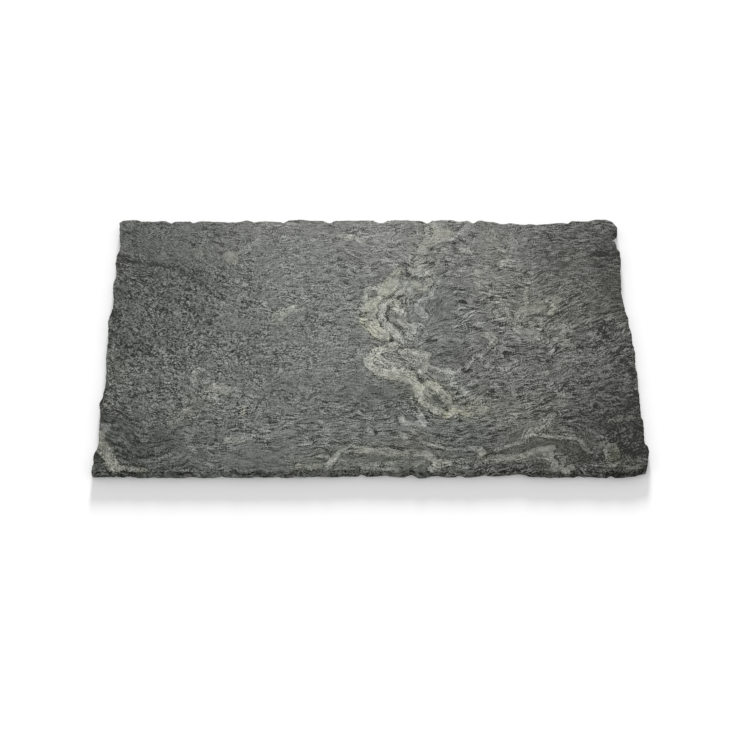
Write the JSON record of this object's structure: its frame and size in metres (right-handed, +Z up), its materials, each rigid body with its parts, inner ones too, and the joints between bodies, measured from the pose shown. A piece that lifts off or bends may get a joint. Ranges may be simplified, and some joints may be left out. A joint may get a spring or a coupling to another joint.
{
  "type": "granite countertop sample slab",
  "caption": "Flat rectangular slab of grey-green banded granite with honed top, sawn underside and raw split edges, for lying flat.",
  "frame": {"origin": "middle of the overall length and depth, on the sawn underside", "axes": "+X along the slab's length, +Y from the front edge to the back edge, +Z up out of the honed top face"},
  "size_m": [1.2162, 0.765, 0.02],
  "materials": {
    "granite": "honed top face, sawn underside, raw split edges; grey-green ground with fine dark foliation and pale cream folded veins"
  },
  "bodies": {
    "root": {"slab": "granite"}
  },
  "joints": []
}
